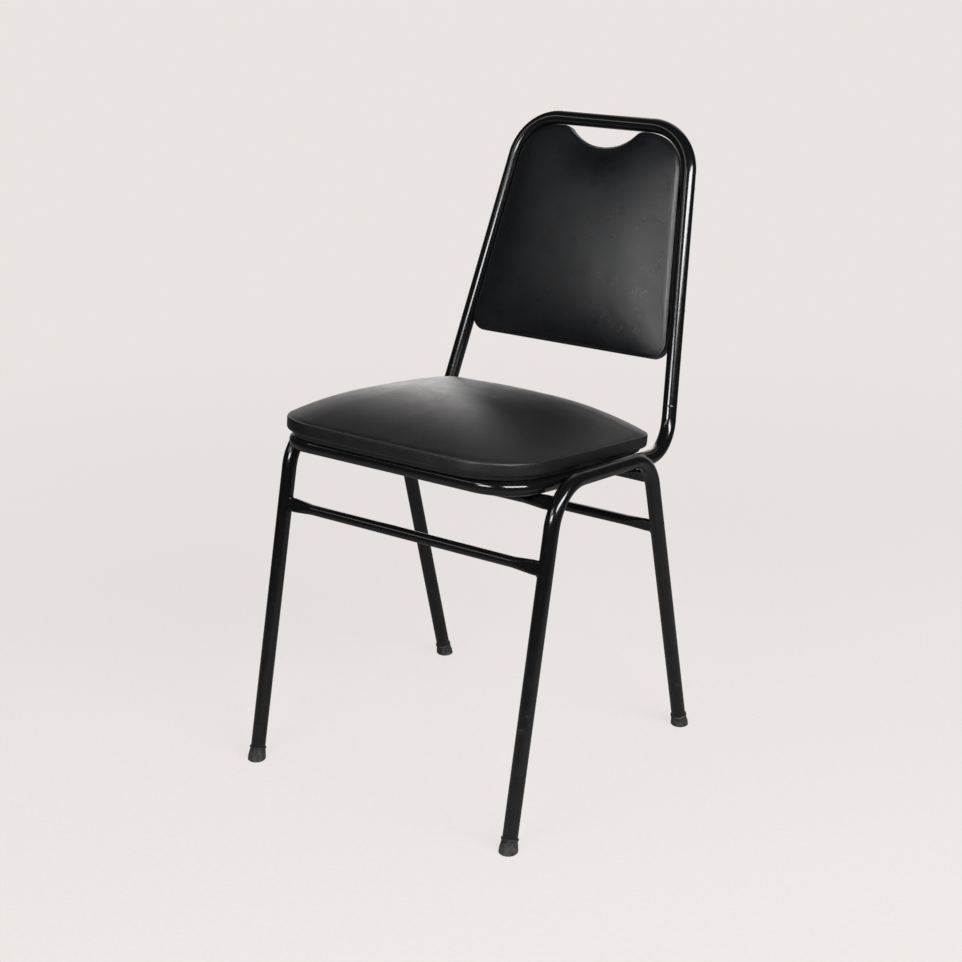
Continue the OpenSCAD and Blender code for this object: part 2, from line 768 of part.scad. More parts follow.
// The back pad's layers, measured forward from the uprights' rear side
panel_back = seat_gap;
board_back = panel_back + back_panel_t;
board_front = board_back + back_board_t;
back_fold = panel_back + back_border;

// The back pad's frame: x across, y up along the back, z forward from the uprights' rear side
module in_back_pad() {
    in_back() translate([0, tube_r, 0]) rotate([90, 0, 0]) children();
}

module back_cushion() {
    pocket = board_front + seat_gap;
    color("#26272a")
        in_back_pad()
            lofted(
                pad_rings(
                    back_outline, back_centre, back_half_size, panel_back, back_fold, back_crown,
                    back_power, 0, back_pocket_share, pocket
                ),
                [back_centre.x, back_centre.y, back_fold + back_crown],
                [back_centre.x, back_centre.y, pocket]
            );
}

module back_layer(low, t) {
    in_back_pad()
        translate([0, 0, low])
            linear_extrude(t)
                polygon([for (p = ring(back_outline, back_centre, back_board_share, 0)) [p.x, p.y]]);
}

module back_board() {
    color("#8a6b45")
        difference() {
            back_layer(board_back, back_board_t);
            at_back_screws() translate([0, 0, board_back]) tee_hole(back_board_t);
        }
}

module back_panel() {
    color("#1e1f21")
        difference() {
            back_layer(panel_back, back_panel_t);
            at_back_screws()
                translate([0, 0, -overrun]) cylinder(h = 2 * overrun + board_back, r = screw_d / 2 + hole_gap);
        }
}

module back_tee_nuts() { at_back_screws() translate([0, 0, board_back]) tee_nut(back_board_t); }
module back_washers() {
    at_back_screws() translate([0, 0, -weld_gap - tab_t - washer_t]) washer();
}
module back_screws() {
    at_back_screws()
        translate([0, 0, -weld_gap - tab_t - washer_t])
            screw(washer_t + tab_t + weld_gap + board_front - tee_flange_t);
}

seat_hoop();
back_hoop();
left_spigot();
right_spigot();
left_leg_frame();
right_leg_frame();
front_stretcher();
rear_stretcher();
front_seat_bar();
rear_seat_bar();
rail_packers();
foot_front_left();
foot_front_right();
foot_rear_left();
foot_rear_right();
seat_tabs();
seat_board();
seat_cushion();
seat_screws();
seat_washers();
seat_tee_nuts();
back_tabs();
back_board();
back_cushion();
back_panel();
back_screws();
back_washers();
back_tee_nuts();
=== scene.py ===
import json
from math import acos, asin, atan, cos, pi, radians, sin, sqrt, tan
from types import SimpleNamespace

import bmesh
import bpy
import numpy as np
from mathutils import Matrix, Vector, kdtree, noise


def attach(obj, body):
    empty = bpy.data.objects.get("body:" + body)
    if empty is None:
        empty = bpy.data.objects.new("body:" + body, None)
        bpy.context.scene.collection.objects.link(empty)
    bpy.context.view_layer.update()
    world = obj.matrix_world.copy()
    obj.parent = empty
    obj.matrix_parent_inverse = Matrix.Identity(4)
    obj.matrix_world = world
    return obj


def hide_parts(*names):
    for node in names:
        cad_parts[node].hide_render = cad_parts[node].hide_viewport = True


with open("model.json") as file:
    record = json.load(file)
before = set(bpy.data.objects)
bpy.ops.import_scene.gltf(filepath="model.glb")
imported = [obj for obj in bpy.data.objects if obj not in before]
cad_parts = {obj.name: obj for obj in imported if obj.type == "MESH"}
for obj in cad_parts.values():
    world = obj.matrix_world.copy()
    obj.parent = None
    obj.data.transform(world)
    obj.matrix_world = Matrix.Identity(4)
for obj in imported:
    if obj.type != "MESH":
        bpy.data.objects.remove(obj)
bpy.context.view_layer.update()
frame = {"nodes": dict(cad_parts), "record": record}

# Sizes of the CAD model, in metres
TUBE_R = 0.0095
LEG_TRACK = 0.405
FRONT_LEG_RAKE = 0.0931
REAR_LEG_RAKE = 0.1124
BAR_FRONT_RISE = 0.0057
BAR_REAR_RISE = 0.0106
REAR_FOOT_OUT = 0.0324
FOOT_BASE_WALL = 0.00225
RAIL_SETBACK = 0.0356
RAIL_H = 0.441
RAIL_REAR_GAP = 0.0015
HOOP_DEPTH = 0.352
RAIL_DROP = 0.0419
BACK_H = 0.8021
BACK_LEAN = radians(17.74)
UPRIGHT_TAPER = 0.0514
JOINT_RISE = 0.0579
FRONT_STRETCHER_H = 0.340
REAR_STRETCHER_H = 0.316
TONGUE_H = 0.0186
TONGUE_T = 0.0052
PAD_SIDE_IN = 0.015
PAD_REAR_IN = 0.024
BOARD_IN = 0.0095
BOARD_T = 0.012
SKIRT_T = 0.0025
BACK_PAD_TOP_GAP = 0.0103
BACK_BORDER = 0.0151
BACK_BOARD_T = 0.008
BACK_PANEL_T = 0.002
SEAT_GAP = 0.0003

# Places that follow from them
LEG_X = LEG_TRACK / 2
HOOP_REAR_W = LEG_TRACK - 2 * (2 * TUBE_R + RAIL_REAR_GAP)
BACK_TOP_W = HOOP_REAR_W - 2 * UPRIGHT_TAPER
FOOT_BASE = RAIL_SETBACK + HOOP_DEPTH + REAR_FOOT_OUT
RAIL_FALL = RAIL_DROP / HOOP_DEPTH
RAIL_SLOPE = atan(RAIL_FALL)
FRONT_LEG_H = RAIL_H - (FRONT_LEG_RAKE - RAIL_SETBACK) * RAIL_FALL + BAR_FRONT_RISE
REAR_LEG_H = RAIL_H - (FOOT_BASE - REAR_LEG_RAKE - RAIL_SETBACK) * RAIL_FALL + BAR_REAR_RISE
UPRIGHT_H = RAIL_H - RAIL_DROP
UPRIGHT_RISE = BACK_H - UPRIGHT_H
UPRIGHT_LEN = UPRIGHT_RISE / cos(BACK_LEAN)
JOINT_H = UPRIGHT_H + JOINT_RISE
HOOP_REACH = RAIL_SETBACK + HOOP_DEPTH + UPRIGHT_RISE * tan(BACK_LEAN)
FRONT_EDGE = (TUBE_R + FOOT_BASE_WALL) / cos(atan(FRONT_LEG_RAKE / FRONT_LEG_H))
FRONT_FOOT_Y = -(HOOP_REACH + TUBE_R - FRONT_EDGE) / 2
REAR_FOOT_Y = FRONT_FOOT_Y + FOOT_BASE
RAIL_Y = FRONT_FOOT_Y + RAIL_SETBACK
UPRIGHT_Y = RAIL_Y + HOOP_DEPTH

# The pads' own frames: the seat's lies on top of the side rails, with its second axis towards the rear, and
# the back's lies at the rear of the uprights, with its second axis up along them and its third forward
IN_SEAT = (
    Matrix.Translation((0, RAIL_Y, RAIL_H)) @ Matrix.Rotation(-RAIL_SLOPE, 4, "X")
    @ Matrix.Translation((0, 0, TUBE_R))
)
IN_BACK = (
    Matrix.Translation((0, UPRIGHT_Y, UPRIGHT_H)) @ Matrix.Rotation(-BACK_LEAN, 4, "X")
    @ Matrix.Translation((0, TUBE_R, 0)) @ Matrix.Rotation(pi / 2, 4, "X")
)


# Materials
class Shading:
    """The node tree of a material or of the world, with a short call for each kind of node used here."""

    def __init__(self, owner, output):
        owner.use_nodes = True
        self.owner = owner
        self.tree = owner.node_tree
        self.tree.nodes.clear()
        self.output = self.new(output)
        self.places = self.new("ShaderNodeTexCoord").outputs

    def put(self, socket, value):
        """Links a socket to another one, or sets its value."""
        if isinstance(value, bpy.types.NodeSocket):
            self.tree.links.new(value, socket)
        else:
            socket.default_value = value

    def new(self, kind, **inputs):
        node = self.tree.nodes.new(kind)
        for name, value in inputs.items():
            self.put(node.inputs[name.replace("_", " ")], value)
        return node

    def mapped(self, vector, rotation=(0, 0, 0), scale=(1, 1, 1)):
        node = self.new("ShaderNodeMapping", Vector=vector, Rotation=rotation, Scale=scale)
        return node.outputs["Vector"]

    def noise_node(self, scale, detail, rough, warp, vector):
        return self.new(
            "ShaderNodeTexNoise", Vector=vector or self.places["Object"],
            Scale=scale, Detail=detail, Roughness=rough, Distortion=warp,
        )

    def noise(self, scale, detail=3.0, rough=0.55, warp=0.0, vector=None):
        return self.noise_node(scale, detail, rough, warp, vector).outputs["Fac"]

    def noise_colour(self, scale, detail, rough=0.5):
        return self.noise_node(scale, detail, rough, 0.0, None).outputs["Color"]

    def cell_edges(self, scale, vector):
        """Distance to the nearest edge between the cells of a Voronoi pattern."""
        node = self.tree.nodes.new("ShaderNodeTexVoronoi")
        node.feature = "DISTANCE_TO_EDGE"
        self.put(node.inputs["Vector"], vector)
        self.put(node.inputs["Scale"], scale)
        return node.outputs["Distance"]

    def ramp(self, value, stops):
        """Grey levels read off between stops, each a position and a level."""
        node = self.new("ShaderNodeValToRGB", Fac=value)
        elements = node.color_ramp.elements
        while len(elements) < len(stops):
            elements.new(0.5)
        for element, (position, level) in zip(elements, stops):
            element.position = position
            element.color = (level, level, level, 1)
        return node.outputs["Color"]

    def specks(self, pattern, start, full):
        """Marks where a pattern is over start, at full strength where it is over full."""
        return self.ramp(pattern, [(0.0, 0.0), (start, 0.0), (full, 1.0)])

    def span(self, value, low, high, to_low=0.0, to_high=1.0, ease="LINEAR"):
        """Stretches the values between low and high to those between to_low and to_high."""
        node = self.new(
            "ShaderNodeMapRange", Value=value, From_Min=low, From_Max=high, To_Min=to_low, To_Max=to_high
        )
        node.interpolation_type = ease
        return node.outputs["Result"]

    def math(self, operation, *values):
        node = self.new("ShaderNodeMath")
        node.operation = operation
        for socket, value in zip(node.inputs, values):
            self.put(socket, value)
        return node.outputs[0]

    def times(self, first, second):
        return self.math("MULTIPLY", first, second)

    def plus(self, first, second):
        return self.math("ADD", first, second)

    def larger(self, first, second):
        return self.math("MAXIMUM", first, second)

    def vector_math(self, operation, *vectors):
        node = self.new("ShaderNodeVectorMath")
        node.operation = operation
        for socket, vector in zip(node.inputs, vectors):
            self.put(socket, vector)
        return node

    def axis(self, vector, index):
        return self.new("ShaderNodeSeparateXYZ", Vector=vector).outputs[index]

    def mix(self, share, first, second):
        """Mixes two colours, each a socket or three values."""
        node = self.new("ShaderNodeMix")
        node.data_type = "RGBA"
        self.put(node.inputs["Factor"], share)
        colours = [socket for socket in node.inputs if socket.type == "RGBA"]
        for socket, colour in zip(colours, (first, second)):
            self.put(socket, colour if isinstance(colour, bpy.types.NodeSocket) else (*colour, 1))
        return next(socket for socket in node.outputs if socket.type == "RGBA")

    def bump(self, height, strength, distance, under=None):
        node = self.new("ShaderNodeBump", Height=height, Strength=strength, Distance=distance)
        if under is not None:
            self.put(node.inputs["Normal"], under)
        return node.outputs["Normal"]

    def mix_shaders(self, share, first, second):
        node = self.new("ShaderNodeMixShader")
        for socket, value in zip(node.inputs, (share, first, second)):
            self.put(socket, value)
        return node.outputs[0]

    def finish(self, shader):
        """Gives the tree its surface and returns the material or world that it belongs to."""
        self.put(self.output.inputs["Surface"], shader)
        return self.owner

    def principled(self, **inputs):
        return self.finish(self.new("ShaderNodeBsdfPrincipled", **inputs).outputs[0])


def new_material(name):
    return Shading(bpy.data.materials.new(name), "ShaderNodeOutputMaterial")


def shade(colour, share):
    """The same colour, darker or lighter by a share."""
    return tuple(value * share for value in colour)


def paint():
    """Gloss black powder coat, dulled, dusty and scuffed towards the floor."""
    black = (0.0030, 0.0031, 0.0034)
    dust_grey = (0.016, 0.0155, 0.015)
    scuff_grey = (0.070, 0.068, 0.066)
    dust_strength = 0.34
    scuff_strength = 0.40
    dirt_rough = 0.22
    mat = new_material("frame_paint_gloss")
    height = mat.axis(mat.places["Object"], 2)
    patches = mat.span(mat.noise(scale=38, detail=4, rough=0.6), low=0.35, high=0.7, to_low=0.35)
    dirt = mat.times(mat.span(height, low=0.34, high=0.02, to_low=0.04), patches)
    flecks = mat.specks(mat.noise(scale=900, detail=2, rough=0.7, warp=0.3), start=0.66, full=0.70)
    rubs = mat.specks(mat.noise(scale=95, detail=5, rough=0.75, warp=0.8), start=0.60, full=0.68)
    wear = mat.times(mat.larger(flecks, rubs), dirt)
    base = mat.mix(mat.times(dirt, dust_strength), black, dust_grey)
    base = mat.mix(mat.times(wear, scuff_strength), base, scuff_grey)
    gloss = mat.span(mat.noise(scale=60), low=0.3, high=0.7, to_low=0.12, to_high=0.17)
    rough = mat.plus(gloss, mat.times(dirt, dirt_rough))
    peel = mat.bump(mat.noise(scale=90, detail=2, rough=0.5), strength=0.008, distance=0.0003)
    return mat.principled(Base_Color=base, Roughness=rough, IOR=1.5, Normal=peel)


def vinyl(name, colour, rough):
    """Grained vinyl: fine pebbles with creases between them, over slightly uneven foam, with painted shade
    in the creases.
    """
    dark = shade(colour, 0.82)
    light = shade(colour, 1.22)
    # Painted shade: the crease colour and its strength below darken the creases between the pebbles
    painted_crease_shade = shade(colour, 0.4)
    scuffed = shade(colour, 2.6)
    scuff_strength = 0.25
    crease_shade_strength = 0.35
    crease_rough = 0.10
    either_way = 0.045
    wander = 0.0016
    wide_share = 0.6
    mat = new_material(name)
    drift = mat.noise_colour(scale=260, detail=2)
    shift = mat.new("ShaderNodeVectorMath")
    shift.operation = "SCALE"
    mat.put(shift.inputs["Vector"], drift)
    mat.put(shift.inputs["Scale"], wander)
    warped = mat.vector_math("ADD", mat.places["Object"], shift.outputs[0]).outputs[0]
    pebbles = mat.ramp(mat.cell_edges(scale=1050, vector=warped), [(0.0, 0.0), (0.10, 0.55), (0.32, 1.0)])
    wide = mat.noise(scale=34, detail=4, rough=0.6, warp=0.4)
    middling = mat.noise(scale=120, detail=4, rough=0.62, warp=0.6)
    mottle = mat.plus(mat.times(wide, wide_share), mat.times(middling, 1 - wide_share))
    tone = mat.span(mottle, low=0.35, high=0.65)
    base = mat.mix(tone, dark, light)
    # Painted shade: the creases between the pebbles are darkened in the colour
    creases = mat.span(pebbles, low=0.0, high=0.5, to_low=crease_shade_strength, to_high=0.0)
    base = mat.mix(creases, base, painted_crease_shade)
    scuffs = mat.specks(mat.noise(scale=210, detail=6, rough=0.72, warp=1.4), start=0.655, full=0.70)
    base = mat.mix(mat.times(scuffs, scuff_strength), base, scuffed)
    uneven = mat.span(tone, low=0.0, high=1.0, to_low=rough - either_way, to_high=rough + either_way)
    creased = mat.span(pebbles, low=0.0, high=1.0, to_low=crease_rough, to_high=0.0)
    lumps = mat.bump(wide, strength=0.08, distance=0.004)
    folds = mat.bump(middling, strength=0.06, distance=0.0012, under=lumps)
    hide_noise = mat.noise(scale=330, detail=3, rough=0.6, warp=0.9)
    hide = mat.bump(hide_noise, strength=0.16, distance=0.0005, under=folds)
    grain = mat.bump(pebbles, strength=0.32, distance=0.00022, under=hide)
    skin = mat.bump(mat.noise(scale=3200, detail=2, rough=0.6), strength=0.14, distance=0.00006, under=grain)
    return mat.principled(
        Base_Color=base, Roughness=mat.plus(uneven, creased), IOR=1.5, Specular_IOR_Level=0.5, Normal=skin
    )


def rubber():
    """Black rubber with pale dust and scuffs towards the floor."""
    black = (0.0085, 0.0085, 0.0083)
    dust_grey = (0.060, 0.057, 0.052)
    mark_grey = (0.055, 0.052, 0.048)
    mark_strength = 0.35
    mat = new_material("foot_rubber_dusty")
    height = mat.axis(mat.places["Object"], 2)
    patches = mat.span(mat.noise(scale=230, detail=5, rough=0.65, warp=0.5), low=0.38, high=0.64)
    dust = mat.times(mat.span(height, low=0.021, high=0.001, to_low=0.12), patches)
    marks = mat.specks(mat.noise(scale=700, detail=3, rough=0.7), start=0.62, full=0.67)
    base = mat.mix(mat.times(marks, mark_strength), mat.mix(dust, black, dust_grey), mark_grey)
    rough = mat.span(dust, low=0.0, high=1.0, to_low=0.48, to_high=0.9)
    pits = mat.bump(mat.noise(scale=1500, detail=3, rough=0.6), strength=0.25, distance=0.0002)
    return mat.principled(Base_Color=base, Roughness=rough, IOR=1.5, Specular_IOR_Level=0.45, Normal=pits)


def steel(name, colour, stain, rough_low, rough_high):
    """Metal with drawn lines, fingerprints and a little tarnish."""
    line_share = 0.5
    mat = new_material(name)
    drawn_out = mat.mapped(mat.places["Object"], scale=(1, 1, 22))
    lines = mat.noise(scale=60, detail=4, rough=0.6, vector=drawn_out)
    stains = mat.noise(scale=210, detail=5, rough=0.6, warp=0.5)
    base = mat.mix(mat.span(stains, low=0.4, high=0.65), colour, stain)
    uneven = mat.plus(mat.times(lines, line_share), mat.times(stains, 1 - line_share))
    rough = mat.span(uneven, low=0.35, high=0.65, to_low=rough_low, to_high=rough_high)
    drawn = mat.bump(lines, strength=0.12, distance=0.0001)
    return mat.principled(Base_Color=base, Metallic=1.0, Roughness=rough, Normal=drawn)


def plywood(name, tilt):
    """Ply stained dark: long figure on the face and thin plies on the edge, turned to the board's tilt."""
    light_figure = (0.030, 0.023, 0.017)
    dark_figure = (0.058, 0.044, 0.032)
    pore_brown = (0.014, 0.010, 0.008)
    ply_brown = (0.09, 0.06, 0.036)
    ply_mm = 1.35
    mm_per_metre = 1000.0
    mat = new_material(name)
    board = mat.mapped(mat.places["Object"], rotation=(tilt, 0, 0))
    drawn_out = mat.mapped(board, scale=(1, 0.09, 1))
    figure = mat.noise(scale=95, detail=6, rough=0.62, warp=1.1, vector=drawn_out)
    pores = mat.noise(scale=900, detail=3, rough=0.7, vector=drawn_out)
    base = mat.mix(mat.span(figure, low=0.3, high=0.7), light_figure, dark_figure)
    base = mat.mix(mat.span(pores, low=0.55, high=0.75, to_high=0.45), base, pore_brown)
    plies = mat.math("PINGPONG", mat.times(mat.axis(board, 2), mm_per_metre), ply_mm)
    base = mat.mix(mat.span(plies, low=0.55, high=0.8, to_high=0.28), base, ply_brown)
    rough = mat.span(figure, low=0.3, high=0.7, to_low=0.62, to_high=0.78)
    pits = mat.bump(pores, strength=0.15, distance=0.0002)
    relief = mat.bump(figure, strength=0.18, distance=0.0004, under=pits)
    return mat.principled(Base_Color=base, Roughness=rough, Normal=relief)


FINISH = {
    "frame_paint": paint(),
    "bare_steel": steel("bare_steel_drawn", (0.34, 0.34, 0.35), (0.22, 0.19, 0.16), 0.32, 0.5),
    "zinc_steel": steel("zinc_steel_plated", (0.60, 0.61, 0.63), (0.55, 0.54, 0.47), 0.22, 0.4),
    "foot_rubber": rubber(),
    "seat_vinyl": vinyl("seat_vinyl_grained", (0.0048, 0.0050, 0.0058), 0.32),
    "back_vinyl": vinyl("back_vinyl_grained", (0.0036, 0.0039, 0.0048), 0.29),
    "panel_vinyl": vinyl("panel_vinyl_grained", (0.0060, 0.0062, 0.0068), 0.42),
}
BOARDS = {
    "seat_board": plywood("plywood_seat", RAIL_SLOPE),
    "back_board": plywood("plywood_back", BACK_LEAN - pi / 2),
}
for part in frame["record"]["subparts"]:
    cad_node = frame["nodes"][part["node"]]
    finish = BOARDS.get(part["node"]) or FINISH[part["material_slot"]]
    if not cad_node.material_slots:
        cad_node.data.materials.append(finish)
    for material_slot in cad_node.material_slots:
        material_slot.material = finish


# Helpers for pieces
def piece(name, points, faces, slot):
    """A smooth mesh that rides on the chair and takes its finish from a slot."""
    mesh = bpy.data.meshes.new(name)
    mesh.from_pydata([tuple(point) for point in points], [], faces)
    mesh.update()
    work = bmesh.new()
    work.from_mesh(mesh)
    bmesh.ops.recalc_face_normals(work, faces=work.faces)
    work.to_mesh(mesh)
    work.free()
    mesh.shade_smooth()
    mesh.materials.append(FINISH[slot])
    obj = bpy.data.objects.new(name, mesh)
    bpy.context.scene.collection.objects.link(obj)
    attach(obj, "root")
    return obj


def evaluated_mesh(obj):
    """A new mesh of the object as its modifiers leave it."""
    graph = bpy.context.evaluated_depsgraph_get()
    return bpy.data.meshes.new_from_object(obj.evaluated_get(graph))


def subdivide(obj):
    """Applies one level of subdivision to the piece's mesh."""
    obj.modifiers.new("Subsurf", "SUBSURF").levels = 1
    fine = evaluated_mesh(obj)
    obj.modifiers.clear()
    coarse = obj.data
    obj.data = fine
    bpy.data.meshes.remove(coarse)
    fine.shade_smooth()


def coordinates(mesh):
    values = np.empty(len(mesh.vertices) * 3)
    mesh.vertices.foreach_get("co", values)
    return values.reshape(-1, 3)


def smooth_noise(point, scale, shift):
    return noise.noise(Vector(point) * scale + Vector(shift))


def waves(point, layers):
    """The sum of noise layers, each a depth, a scale and the shift that sets it apart."""
    return sum(depth * smooth_noise(point, scale, shift) for depth, scale, shift in layers)


# Outlines of the pads, anticlockwise and in each pad's own frame
def unit(vector):
    return vector / np.linalg.norm(vector)


def outward(direction):
    return np.array([direction[1], -direction[0]])


def corner(before, at, after, radius, steps):
    """Points of the arc that rounds a corner."""
    start, end = unit(at - before), unit(after - at)
    turn = acos(float(start @ end))
    out = outward(start)
    centre = at - start * radius * tan(turn / 2) - out * radius
    angles = (turn * i / steps for i in range(steps + 1))
    return [centre + radius * (out * cos(angle) + start * sin(angle)) for angle in angles]


def side(start, end, bow, steps):
    """Points between two corners, bowed out in the middle."""
    out = outward(unit(end - start))
    shares = (i / steps for i in range(1, steps))
    return [start + (end - start) * share + out * bow * 4 * share * (1 - share) for share in shares]


def rounded(corners, radii, steps):
    """The arcs at an outline's corners."""
    count = len(corners)
    return [
        corner(corners[i - 1], corners[i], corners[(i + 1) % count], radii[i], steps) for i in range(count)
    ]


# The seat pad's sizes, across the chair and back from the front rail along the side rails
SEAT_HALF_W = LEG_X - PAD_SIDE_IN
SEAT_OVERHANG = 0.025
SEAT_REACH = HOOP_DEPTH - PAD_REAR_IN
SEAT_FRONT_R = 0.080
SEAT_REAR_R = 0.050
SEAT_BOW = 0.002
SEAT_CORNER_STEPS = 18
SEAT_SIDE_STEPS = 26
BOARD_HALF_W = SEAT_HALF_W - BOARD_IN


def seat_outline():
    front, rear = -SEAT_OVERHANG, SEAT_REACH
    left, right = -SEAT_HALF_W, SEAT_HALF_W
    corners = [
        np.array(point) for point in ((left, front), (right, front), (right, rear), (left, rear))
    ]
    arcs = rounded(corners, (SEAT_FRONT_R, SEAT_FRONT_R, SEAT_REAR_R, SEAT_REAR_R), SEAT_CORNER_STEPS)
    points = []
    for i, arc in enumerate(arcs):
        points += arc + side(arc[-1], arcs[(i + 1) % 4][0], SEAT_BOW, SEAT_SIDE_STEPS)
    return np.array(points)


# The back pad's sizes, across the chair and up along the uprights from their foot
PAD_LOW = 0.1177
PAD_HIGH = UPRIGHT_LEN - BACK_PAD_TOP_GAP
PAD_GAP = 0.0011
PAD_LOW_R = 0.020
PAD_HIGH_R = 0.055
NOTCH_HALF_W = 0.057
NOTCH_DEPTH = 0.0247
NOTCH_LIP_R = 0.012
NOTCH_STEPS = 34
LIP_STEPS = 10
BACK_CORNER_STEPS = 16
BACK_LOW_STEPS = 26
BACK_SIDE_STEPS = 30
# Points of the hand hold's arc that give way to a lip at each of its ends
LIP_POINTS = 3


def back_half(height):
    """Half the pad's width between the uprights, at a height along them."""
    width = HOOP_REAR_W + (BACK_TOP_W - HOOP_REAR_W) * height / UPRIGHT_LEN
    return width / 2 - TUBE_R / cos(atan(UPRIGHT_TAPER / UPRIGHT_LEN)) - PAD_GAP


def back_outline():
    low, high = back_half(PAD_LOW), back_half(PAD_HIGH)
    corners = [
        np.array(point)
        for point in ((-low, PAD_LOW), (low, PAD_LOW), (high, PAD_HIGH), (-high, PAD_HIGH))
    ]
    arcs = rounded(corners, (PAD_LOW_R, PAD_LOW_R, PAD_HIGH_R, PAD_HIGH_R), BACK_CORNER_STEPS)
    radius = (NOTCH_HALF_W ** 2 + NOTCH_DEPTH ** 2) / (2 * NOTCH_DEPTH)
    turn = asin(NOTCH_HALF_W / radius)
    floor_h = PAD_HIGH - NOTCH_DEPTH
    angles = (turn * (1 - 2 * i / NOTCH_STEPS) for i in range(NOTCH_STEPS + 1))
    hold = [np.array([radius * sin(angle), floor_h + radius * (1 - cos(angle))]) for angle in angles]
    near = LIP_POINTS
    points = arcs[0] + side(arcs[0][-1], arcs[1][0], 0, BACK_LOW_STEPS)
    points += arcs[1] + side(arcs[1][-1], arcs[2][0], 0, BACK_SIDE_STEPS)
    points += arcs[2] + corner(corners[2], hold[0], hold[near], NOTCH_LIP_R, LIP_STEPS)
    points += hold[near:-near]
    points += corner(hold[-1 - near], hold[-1], corners[3], NOTCH_LIP_R, LIP_STEPS)
    points += arcs[3] + side(arcs[3][-1], arcs[0][0], 0, BACK_SIDE_STEPS)
    return np.array(points)


# Shapes of the two pads. low, fold and pocket are heights in the pad's own frame: of the border's lower
# edge, which low_r rounds, of the fold between border and crown, and of the floor of the board's pocket.
# power sets how full the crown is towards its edge, and blend how soon its rings turn from the outline to
# an ellipse. hold_dip is how far the fold is drawn in at a hand hold. Shares are of the outline's distance
# from the pad's centre
SEAT_PAD = SimpleNamespace(
    centre=np.array([0.0, (SEAT_REACH - SEAT_OVERHANG) / 2]),
    half=np.array([SEAT_HALF_W, (SEAT_REACH + SEAT_OVERHANG) / 2]),
    low=0.0065, fold=0.0220, crown=0.0490, power=2.56, blend=0.40, hold_dip=0.0, low_r=0.0035,
    skirt_share=(BOARD_HALF_W + SEAT_GAP + SKIRT_T) / SEAT_HALF_W,
    pocket_share=(BOARD_HALF_W + SEAT_GAP) / SEAT_HALF_W, pocket=BOARD_T + 2 * SEAT_GAP,
)
BACK_MIDDLE_H = (PAD_LOW + PAD_HIGH) / 2
BACK_PAD = SimpleNamespace(
    centre=np.array([0.0, BACK_MIDDLE_H]),
    half=np.array([back_half(BACK_MIDDLE_H), (PAD_HIGH - PAD_LOW) / 2]),
    low=SEAT_GAP, fold=SEAT_GAP + BACK_BORDER, crown=0.0235, power=0.66, blend=1.0, hold_dip=0.0045,
    low_r=0.0030, skirt_share=None, pocket_share=0.93, pocket=BACK_PANEL_T + BACK_BOARD_T + 2 * SEAT_GAP,
)

# Shares of the outline at which the rings of a crown lie
CROWN_SHARES = [*np.linspace(0.04, 0.94, 25), 0.955, 0.967, 0.977]
# Share from which the cloth's swelling fades towards the fold
FADE_SHARE = 0.55
# How far round a hand hold the crown is drawn in
HOLD_REACH = 0.047
# The roll along the fold: how far in and how far over the fold each ring lies, and its share of the swelling
FOLD_ROLL = ((0.0021, 0.0006, 0.02), (0.0013, 0.0007, 0.0), (0.0006, 0.0004, 0.0), (0.0001, -0.0009, 0.0))
# Shares of the border's height at which its rings lie
BORDER_SHARES = (0.80, 0.62, 0.45, 0.30)
# Shares of the quarter turn at the border's lower edge
TURN_SHARES = (0.25, 0.5, 0.75, 1.0)
# Radius at which the cover turns in over the skirt
TUCK_R = 0.0012
# Share of the way in from the outline to the pocket at which a pad's flat back has a ring
FLAT_SHARE = 0.75


def fan_faces(count):
    """Triangles between point 0 and the ring that starts at point 1."""
    return [(0, 1 + j, 1 + (j + 1) % count) for j in range(count)]


def ring_faces(count, rows):
    """Quads between rings of count points, the first of which starts at point 1."""
    faces = []
    for row in range(rows - 1):
        start = 1 + row * count
        for j in range(count):
            after = (j + 1) % count
            faces.append((start + j, start + count + j, start + count + after, start + after))
    return faces


def loft(rings, top, bottom):
    """Points and faces of the closed form through the rings, between a top and a bottom point."""
    count, rows = len(rings[0]), len(rings)
    points = [top] + [tuple(point) for ring in rings for point in ring] + [bottom]
    last = 1 + (rows - 1) * count
    floor = [(last + (j + 1) % count, last + j, last + count) for j in range(count)]
    return points, fan_faces(count) + ring_faces(count, rows) + floor


def skin_heights(points, faces, held):
    """Heights of an evenly loaded skin over a flat mesh, held along its edge, as shares of the highest.

    The weight of each edge is the cotangent of the angles across it, and the heights come from the
    conjugate gradient method, with the mesh's diagonal to condition it.
    """
    most_rounds = 900
    small_enough = 1e-16
    a, b, c = np.array(faces).T
    count = len(points)
    rows, columns, pull = [], [], []
    for i, j, k in ((a, b, c), (b, c, a), (c, a, b)):
        u = points[i] - points[k]
        w = points[j] - points[k]
        cotangent = 0.5 * np.sum(u * w, axis=1) / np.abs(u[:, 0] * w[:, 1] - u[:, 1] * w[:, 0])
        rows += [i, j]
        columns += [j, i]
        pull += [cotangent, cotangent]
    rows = np.concatenate(rows)
    columns = np.concatenate(columns)
    pull = np.concatenate(pull)
    total = np.bincount(rows, pull, count)
    u = points[b] - points[a]
    w = points[c] - points[a]
    area_share = np.abs(u[:, 0] * w[:, 1] - u[:, 1] * w[:, 0]) / 6
    load = sum(np.bincount(k, area_share, count) for k in (a, b, c))
    heights = np.zeros(count)
    left = np.where(held, 0.0, load)
    step = left / total
    size = left @ step
    for _ in range(most_rounds):
        pulled = np.where(held, 0.0, total * step - np.bincount(rows, pull * step[columns], count))
        along = size / (step @ pulled)
        heights += along * step
        left -= along * pulled
        ready = left / total
        new_size = left @ ready
        if new_size < small_enough:
            break
        step = ready + step * (new_size / size)
        size = new_size
    return np.clip(heights / heights.max(), 0, 1)


